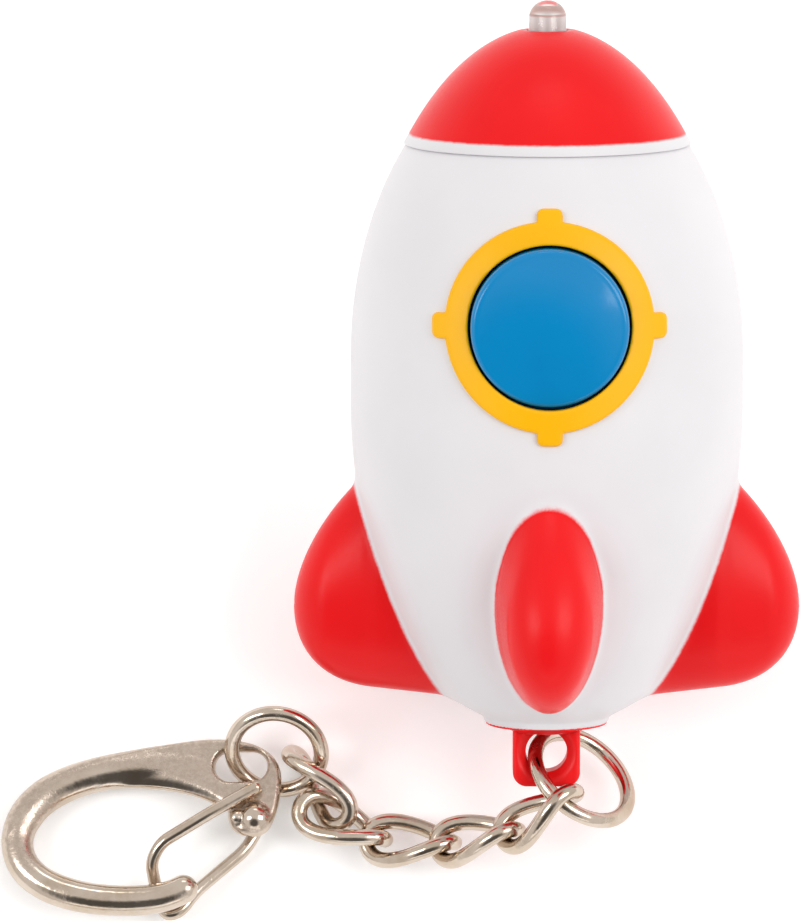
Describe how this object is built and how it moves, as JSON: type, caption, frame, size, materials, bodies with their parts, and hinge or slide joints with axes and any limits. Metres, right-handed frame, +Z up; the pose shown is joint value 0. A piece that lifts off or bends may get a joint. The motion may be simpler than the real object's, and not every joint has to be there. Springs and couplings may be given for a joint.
{
  "type": "rocket key-chain torch",
  "caption": "Rocket-shaped push-button LED key-chain torch with a twisted curb chain and a spring snap hook, lying on its flat back.",
  "frame": {"origin": "centre of the flat on the rocket's back, which rests on the table", "axes": "+Y toward the rocket's nose, +X to its right as seen from above, +Z up from the table; the rocket's axis lies 18 degrees nose-up from +Y"},
  "size_m": [0.0618, 0.068, 0.034],
  "materials": {
    "white_plastic": "satin moulded white",
    "red_paint": "sprayed red, soft edges, satin gloss",
    "yellow_plastic": "glossy moulded yellow",
    "red_plastic": "glossy moulded red",
    "blue_plastic": "glossy moulded blue",
    "clear_lens": "clear epoxy",
    "nickel": "bright nickel plate, slightly worn",
    "screw_steel": "zinc plated",
    "cell_steel": "polished can",
    "contact_brass": "spring brass",
    "board_green": "solder mask over fibreglass",
    "black_plastic": "moulded black"
  },
  "bodies": {
    "rocket": {"front_shell": "white_plastic", "back_shell": "white_plastic", "nose_cap": "red_paint", "window_bezel": "yellow_plastic", "tail_tab": "red_plastic", "battery_door": "white_plastic", "door_screw": "screw_steel", "case_screws": "screw_steel", "battery_cradle": "black_plastic", "cell_1": "cell_steel", "cell_2": "cell_steel", "cell_3": "cell_steel", "positive_contact": "contact_brass", "negative_contact": "contact_brass", "contact_spring": "screw_steel", "circuit_board": "board_green", "resistor": "black_plastic", "switch_body": "black_plastic", "led_lens": "clear_lens", "led_leads": "screw_steel"},
    "button": {"button": "blue_plastic", "switch_plunger": "white_plastic"},
    "tail_ring": {"tail_ring": "nickel"},
    "chain_link_1": {"chain_link_1": "nickel"},
    "chain_link_2": {"chain_link_2": "nickel"},
    "chain_link_3": {"chain_link_3": "nickel"},
    "chain_link_4": {"chain_link_4": "nickel"},
    "chain_link_5": {"chain_link_5": "nickel"},
    "clasp_ring": {"clasp_ring": "nickel"},
    "snap_hook": {"snap_hook": "nickel"},
    "gate_wire": {"gate_wire": "nickel"}
  },
  "joints": [
    {"name": "button_press", "type": "slide", "parent": "rocket", "child": "button", "axis": [0, 0.309, -0.9511], "range_m": [0, 0.001], "stiffness_N_per_m": 600},
    {"name": "tail_ring_swing", "type": "hinge", "parent": "rocket", "child": "tail_ring", "pos_m": [0.0005, -0.01685, 0.00715], "axis": [0.6838, 0.6335, -0.362], "range_deg": [-35, 7]},
    {"name": "link_1_swing", "type": "hinge", "parent": "tail_ring", "child": "chain_link_1", "pos_m": [0.0015, -0.0221, 0.00915], "axis": [-0.7996, 0.5697, 0.1899], "range_deg": [-7, 35]},
    {"name": "link_2_swing", "type": "hinge", "parent": "chain_link_1", "child": "chain_link_2", "pos_m": [-0.00355, -0.02325, 0.0069], "axis": [0.1396, -0.987, -0.0798], "range_deg": [-31, 33]},
    {"name": "link_3_swing", "type": "hinge", "parent": "chain_link_2", "child": "chain_link_3", "pos_m": [-0.0083, -0.02455, 0.0038], "axis": [0.0399, -0.9565, -0.2889], "range_deg": [-21, 29]},
    {"name": "link_4_swing", "type": "hinge", "parent": "chain_link_3", "child": "chain_link_4", "pos_m": [-0.01315, -0.0214, 0.0026], "axis": [0.2899, 0.9495, 0.1199], "range_deg": [-35, 35]},
    {"name": "link_5_swing", "type": "hinge", "parent": "chain_link_4", "child": "chain_link_5", "pos_m": [-0.0169, -0.0203, 0.0021], "axis": [-0.8597, 0.2599, 0.4398], "range_deg": [-35, 31]},
    {"name": "clasp_ring_swing", "type": "hinge", "parent": "chain_link_5", "child": "clasp_ring", "pos_m": [-0.01845, -0.019, 0.0022], "axis": [0.7139, 0.6737, 0.191], "range_deg": [-35, 35]},
    {"name": "snap_hook_swing", "type": "hinge", "parent": "clasp_ring", "child": "snap_hook", "pos_m": [-0.0232, -0.01865, 0.00225], "axis": [0.3009, -0.0401, -0.9528], "range_deg": [-27, 35]},
    {"name": "gate_spring_hinge", "type": "hinge", "parent": "snap_hook", "child": "gate_wire", "pos_m": [-0.02255, -0.0219, 0.00305], "axis": [-0.0803, 0.1606, 0.9837], "range_deg": [-20, 0], "stiffness_Nm_per_rad": 0.01}
  ]
}
